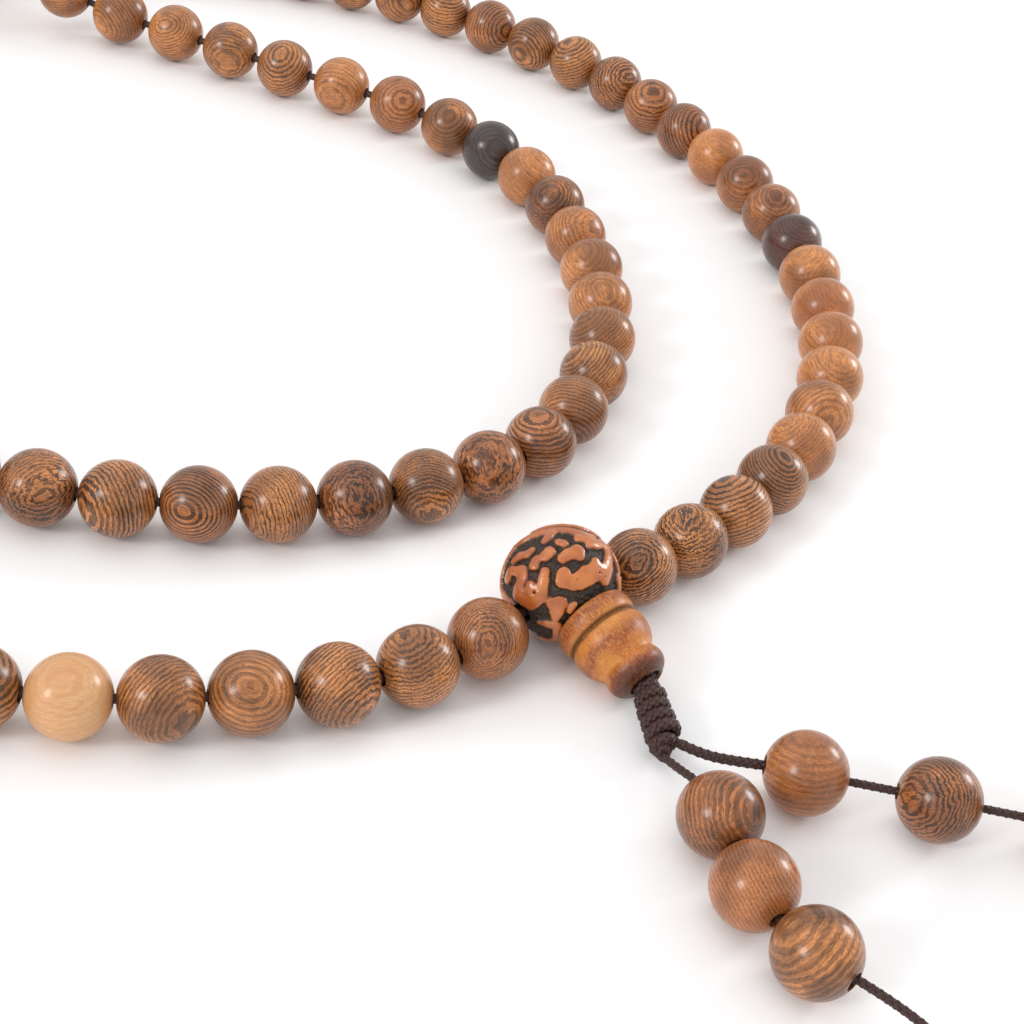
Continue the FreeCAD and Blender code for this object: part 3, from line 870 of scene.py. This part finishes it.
def make_string(centres):
    """The string inside the beads, with both its ends in the tower."""
    line = [np.array(c) for c in centres]
    side = unit(line[0] - line[-1]) * STEM_SPACING / 2
    side -= np.dot(side, TOWER_AXIS) * TOWER_AXIS

    def end(outside, sign):
        inside = [GURU + sign * side + TOWER_AXIS * k for k in STEM_STATIONS]
        way_out = unit(outside - GURU)
        bend = GURU + sign * side * 1.4 + TOWER_AXIS * 0.8
        return inside + [bend, GURU + way_out * 2.2, GURU + way_out * 6.2]

    points = end(line[0], 1) + line + end(line[-1], -1)[::-1]
    path, gone = resampled(through(np.array(points)), STRING_STEP)
    skin, faces = tube(path, CORD_RADIUS, STRING_SIDES)
    angle = np.tile(np.arange(STRING_SIDES) / STRING_SIDES * TURN, len(path))
    thread = np.stack([np.repeat(gone, STRING_SIDES), np.sin(angle) * 2, np.cos(angle) * 2], 1)
    cord_piece("string_loop", [(skin, faces, thread)], "strand", "loop_string")


# ---------------------------------------------------------------- guru bead
GURU_HALF_WIDTH = 6.2
GURU_HALF_HEIGHT = 5.85
GURU_ROWS, GURU_COLUMNS = 210, 420
CARVING_DEPTH = 0.5
ISLAND_GROWTH = 0.15                   # added to every half width
ISLAND_SOFTNESS = 9.0                  # higher keeps close islands apart
ISLAND_SLOPE = 0.34                    # width of an island's flank
GURU_BORE = 1.05
ROD_SIDES = 40
WIDTH_AXIS = unit((0.68, 0.72, 0.0))

# islands left standing by the carving, on the face turned to the camera: chains of across, up
# and half width, in mm from the bead's middle
ISLANDS = (
    ((-5.1, 2.7, 0.25), (-4.5, 3.7, 0.4), (-3.5, 4.4, 0.42), (-2.4, 4.9, 0.45), (-1.1, 5.3, 0.45),
     (0.6, 5.3, 0.45), (1.8, 5.0, 0.48), (2.6, 4.6, 0.52), (3.2, 4.6, 0.3)),
    ((-0.8, 5.1, 0.42), (-1.6, 4.2, 0.34)),
    ((1.8, 4.5, 0.42), (2.6, 4.3, 0.42)),
    ((-4.6, 2.1, 0.22), (-4.1, 2.6, 0.36), (-3.3, 2.8, 0.33), (-2.8, 3.3, 0.22)),
    ((-1.1, 3.1, 0.52), (-1.5, 2.6, 0.5)),
    ((-2.4, 2.2, 0.4), (-2.6, 1.7, 0.42)),
    ((-0.2, 4.1, 0.34), (0.35, 3.95, 0.34)),
    ((0.1, 2.4, 0.4), (0.9, 2.9, 0.5), (1.7, 3.2, 0.58), (1.9, 2.7, 0.42)),
    ((2.8, 3.8, 0.3), (3.4, 3.9, 0.5), (4.1, 3.9, 0.52), (4.7, 3.2, 0.5), (4.8, 2.4, 0.42),
     (4.7, 1.6, 0.6), (4.4, 0.9, 0.75)),
    ((0.25, 0.85, 0.6), (0.1, 0.2, 0.5), (1.25, 0.0, 0.6), (1.9, 0.2, 0.8), (2.7, 0.7, 0.92),
     (3.6, 1.3, 0.85), (4.3, 0.9, 0.85), (4.4, 0.2, 0.42)),
    ((3.6, 1.3, 0.8), (3.5, 2.2, 0.35)),
    ((-5.1, 0.4, 0.5), (-4.9, 1.1, 0.4), (-3.8, 1.1, 0.48), (-3.7, 0.4, 0.46), (-4.0, -0.5, 0.48),
     (-4.1, -1.2, 0.5), (-3.2, -1.7, 0.66), (-2.9, -2.2, 0.35)),
    ((-2.9, -0.2, 0.42), (-2.8, -1.0, 0.66), (-1.9, -0.9, 0.52), (-1.7, 0.4, 0.44),
     (-1.5, 1.1, 0.36)),
    ((-2.8, -1.0, 0.7), (-2.6, -1.8, 0.6), (-1.8, -1.5, 0.4)),
    ((-0.9, -2.0, 0.55), (-0.1, -2.0, 0.56), (-0.4, -2.8, 0.62), (-0.5, -3.3, 0.4)),
    ((1.3, -2.2, 0.28), (0.9, -2.7, 0.28)),
    ((-2.1, -3.8, 0.14), (-1.3, -3.95, 0.25), (-0.5, -4.2, 0.42), (-0.2, -4.9, 0.45),
     (-0.3, -5.5, 0.4), (-1.2, -5.7, 0.28), (-2.1, -5.4, 0.22)),
    ((-5.2, 3.1, 0.22), (-5.8, 1.6, 0.34), (-6.0, 0.5, 0.36), (-5.8, -0.6, 0.36),
     (-5.4, -1.4, 0.45), (-4.7, -2.2, 0.55), (-4.0, -3.0, 0.5)),
    ((5.1, 3.2, 0.2), (5.6, 2.1, 0.22), (5.9, 1.1, 0.24)),
    ((5.7, 0.4, 0.42), (5.8, -0.3, 0.36), (5.6, -1.4, 0.4)),
    ((-2.9, 5.2, 0.24), (-1.5, 5.8, 0.24), (0.2, 6.0, 0.28), (2.2, 5.6, 0.22)),
)
PITS = ((3.8, 1.0, 0.1), (4.3, 0.6, 0.07), (-2.5, -0.9, 0.14), (1.6, 0.3, 0.06))
BACK_ISLANDS = 64


def on_guru(direction):
    """The point of the guru bead's smooth outside in a direction from its middle."""
    direction = unit(direction)
    share = direction @ WIDTH_AXIS
    radius = 1 / np.sqrt((share / GURU_HALF_WIDTH) ** 2 + (1 - share ** 2) / GURU_HALF_HEIGHT ** 2)
    return direction * np.asarray(radius)[..., None]


def guru_chains():
    """All islands as chains of points on the bead's outside, each with its half width."""
    toward = unit(CAMERA_PLACE - GURU)
    across = unit(ACROSS - np.dot(ACROSS, toward) * toward)
    up = np.cross(toward, across)

    def facing(x, y):
        depth = math.sqrt(max(0.4, GURU_HALF_HEIGHT ** 2 - x * x - y * y))
        return on_guru(x * across + y * up + depth * toward)

    chains = [[(facing(x, y), half) for x, y, half in chain] for chain in ISLANDS]
    pits = [(facing(x, y), half) for x, y, half in PITS]
    golden = math.pi * (3 - math.sqrt(5))
    for i in range(BACK_ISLANDS * 2):
        height = 1 - (2 * i + 1) / (BACK_ISLANDS * 2)
        ring = math.sqrt(1 - height * height)
        sideways = math.cos(golden * i) * across + math.sin(golden * i) * up
        start = height * -toward + ring * sideways
        if np.dot(start, toward) > -0.06:
            continue
        heading = unit(np.cross(start, RANDOM.normal(size=3)))
        chain = []
        for k in range(RANDOM.integers(2, 4)):
            chain.append((on_guru(start), RANDOM.uniform(0.34, 0.62)))
            heading = unit(heading + 0.7 * RANDOM.normal(size=3))
            start = unit(start + heading * RANDOM.uniform(0.13, 0.2))
        chains.append(chain)
    return chains, pits


def island_margin(points, chains):
    """Distance outside the nearest island, negative on it, with soft joins."""
    total = np.zeros(len(points))
    for chain in chains:
        spans = zip(chain, chain[1:]) if len(chain) > 1 else [(chain[0], chain[0])]
        for (a, a_half), (b, b_half) in spans:
            run = b - a
            share = np.clip((points - a) @ run / max(run @ run, 1e-9), 0, 1)
            off = np.linalg.norm(points - a - share[:, None] * run, axis=1)
            total += np.exp(-ISLAND_SOFTNESS * (off - a_half - share * (b_half - a_half)))
    return -np.log(total + 1e-30) / ISLAND_SOFTNESS


def rod(name, end, radius):
    """A round rod from the origin to an end. Its mesh, like the bead's, is in millimetres until
    the bores are cut."""
    points, faces = tube(np.array([end * 0, end / 2, end]), radius, ROD_SIDES)
    return link(name, mesh_of(name, points / MM, faces, relief=np.zeros(len(points)), grain=points))


def drilled(mesh, ways):
    """A mesh in millimetres with round bores from its middle to the outside."""
    ball = link(mesh.name, mesh)
    rods = [rod("bore", way * GURU_HALF_WIDTH * 1.3, GURU_BORE) for way in ways]
    for cutter in rods:
        cut = ball.modifiers.new("bore", "BOOLEAN")
        cut.object = cutter
        cut.operation = "DIFFERENCE"
        cut.solver = "MANIFOLD"
    bpy.context.view_layer.update()
    graph = bpy.context.evaluated_depsgraph_get()
    result = bpy.data.meshes.new_from_object(ball.evaluated_get(graph), depsgraph=graph,
                                             preserve_all_data_layers=True)
    for obj in [ball] + rods:
        bpy.data.objects.remove(obj)
    result.name = mesh.name
    return result


def make_guru(near, far):
    """The carved bead, with bores towards the beads at both its sides and the tower bead."""
    first, second = square_to(WIDTH_AXIS)
    latitude = np.linspace(-math.pi / 2, math.pi / 2, GURU_ROWS + 2)[1:-1]
    angle = np.arange(GURU_COLUMNS) / GURU_COLUMNS * TURN
    lat, lon = (a.ravel()[:, None] for a in np.meshgrid(latitude, angle, indexing="ij"))
    around = np.cos(lon) * first + np.sin(lon) * second
    direction = np.sin(lat) * WIDTH_AXIS + np.cos(lat) * around
    outside = on_guru(direction)
    chains, pits = guru_chains()
    wobble = 0.09 * lattice_noise(outside, 0.7, 1) + 0.03 * lattice_noise(outside, 0.25, 2)
    margin = island_margin(outside, chains) - ISLAND_GROWTH + wobble
    share = np.clip(0.5 - margin / ISLAND_SLOPE, 0, 1)
    relief = share * share * (3 - 2 * share)
    for place, half in pits:
        off = np.linalg.norm(outside - place, axis=1)
        relief = relief * (1 - 0.75 * np.exp(-(off / half) ** 2))
    floor = 0.07 * lattice_noise(outside, 0.28, 3) + 0.05 * lattice_noise(outside, 0.13, 4)
    dome = 0.10 * np.clip(-margin, 0, 0.6) / 0.6
    height = (floor - CARVING_DEPTH) * (1 - relief) + (dome - 0.07) * relief
    points = outside + direction * height[:, None]
    faces = outward(points, grid_faces(GURU_ROWS, GURU_COLUMNS)).tolist()
    faces += end_caps(faces, len(points), GURU_COLUMNS)
    mesh = mesh_of("carved_guru", points / MM, faces, relief=relief, grain=outside)
    ways = (unit(near - GURU), unit(far - GURU), TOWER_AXIS)
    mesh = drilled(mesh, ways)
    mesh.transform(Matrix.Translation(GURU * MM) @ Matrix.Scale(MM, 4))
    mesh.set_sharp_from_angle(angle=math.radians(60))
    piece("carved_guru", mesh, CARVED, "strand", "carved_wood", "guru_bead")


# ---------------------------------------------------------------- tower bead
TOWER_SEGMENTS = 144
SEAT_RADIUS = 6.08                     # of the hollow that sits on the guru bead
TOWER_RIM = 3.85
TOWER_BORE = 1.3
TOWER_MOUTH = 1.70


def arc(start, end, radius, side, count):
    """Points along an arc from start to end, both left out, bulging to a side of the chord."""
    start, end = np.array(start), np.array(end)
    run = end - start
    half = np.linalg.norm(run) / 2
    normal = np.array((run[1], -run[0])) / (2 * half) * side
    centre = (start + end) / 2 - normal * math.sqrt(radius ** 2 - half ** 2)
    a, b = (math.atan2(*(p - centre)[::-1]) for p in (start, end))
    sweep = (b - a + math.pi) % TURN - math.pi
    angle = a + sweep * np.linspace(0, 1, count + 2)[1:-1]
    return (centre + radius * np.stack([np.cos(angle), np.sin(angle)], 1)).tolist()


def tower_outline():
    """Radius and station of the turned profile, from its seat on the guru bead to its mouth and
    back through the bore."""
    bore_start = (TOWER_BORE, math.sqrt(SEAT_RADIUS ** 2 - TOWER_BORE ** 2))
    rim = (TOWER_RIM, math.sqrt(SEAT_RADIUS ** 2 - TOWER_RIM ** 2))
    shape = [bore_start, *arc(bore_start, rim, SEAT_RADIUS, -1, 10), rim]
    shape += arc(rim, (3.95, 6.75), 2.2, 1, 12) + [(3.95, 6.75), (3.88, 6.80)]
    shape += [(3.6, 6.84), (3.5, 6.90), (3.48, 7.0), (3.5, 7.10), (3.6, 7.17), (3.8, 7.22)]
    shape += [(3.9, 7.32)] + arc((3.9, 7.32), (3.45, 10.2), 3.43, 1, 26) + [(3.45, 10.2)]
    shape += arc((3.45, 10.2), (2.88, 11.05), 1.6, -1, 8) + [(2.88, 11.05)]
    shape += arc((2.88, 11.05), (2.3, 13.3), 1.50, 1, 22) + [(2.3, 13.3)]
    shape += [(2.18, 13.46), (1.97, 13.57), (1.78, 13.52), (TOWER_MOUTH, 13.3), (TOWER_MOUTH, 11.9)]
    shape += [(1.5, 11.7), (TOWER_BORE, 11.5), (TOWER_BORE, 9.0), (TOWER_BORE, 7.5)]
    return np.array(shape)


def make_tower():
    """The turned bead: its outline swept about its axis, a little worn."""
    outline = tower_outline()
    first, second = square_to(TOWER_AXIS)
    angle = np.arange(TOWER_SEGMENTS) / TOWER_SEGMENTS * TURN
    around = np.cos(angle)[:, None] * first + np.sin(angle)[:, None] * second
    local = outline[:, None, :1] * np.stack([np.cos(angle), np.sin(angle)], 1)[None]
    outside = np.repeat(outline[:, 1:], TOWER_SEGMENTS, 1)
    grain = np.concatenate([local, outside[..., None]], 2).reshape(-1, 3)
    worn = 0.02 * lattice_noise(grain, 1.2, 6) + 0.012 * lattice_noise(grain, 0.35, 7)
    points = outline[:, None, :1] * around[None] + outside[..., None] * TOWER_AXIS
    points = points.reshape(-1, 3)
    out = np.tile(around, (len(outline), 1))
    points = points + out * np.minimum(worn, 0)[:, None] + GURU
    faces = outward(points, grid_faces(len(outline), TOWER_SEGMENTS, rows_close=True))
    mesh = mesh_of("turned_tower", points, faces.tolist(), grain=grain)
    piece("turned_tower", mesh, TURNED, "tower", "turned_wood", "tower_bead")


# ---------------------------------------------------------------- floor
def make_floor():
    half = FLOOR_SIZE / 2
    mesh = bpy.data.meshes.new("floor")
    mesh.from_pydata([(-half, -half, 0), (half, -half, 0), (half, half, 0), (-half, half, 0)], [],
                     [(0, 1, 2, 3)])
    mesh.materials.append(floor_surface())
    link("floor", mesh)


# ---------------------------------------------------------------- everything
make_camera()
make_lights()
make_floor()
make_tail("a", TAIL_A_ROUTE, ((0, 60), (0.92, 0.92)))
make_tail("b", TAIL_B_ROUTE, ((0, 7.5, 10, 60), (1.12, 1.12, 0.92, 0.92)))
bead_centres = make_loop_beads()
make_string(bead_centres)
make_knot()
make_guru(bead_centres[0], bead_centres[-1])
make_tower()
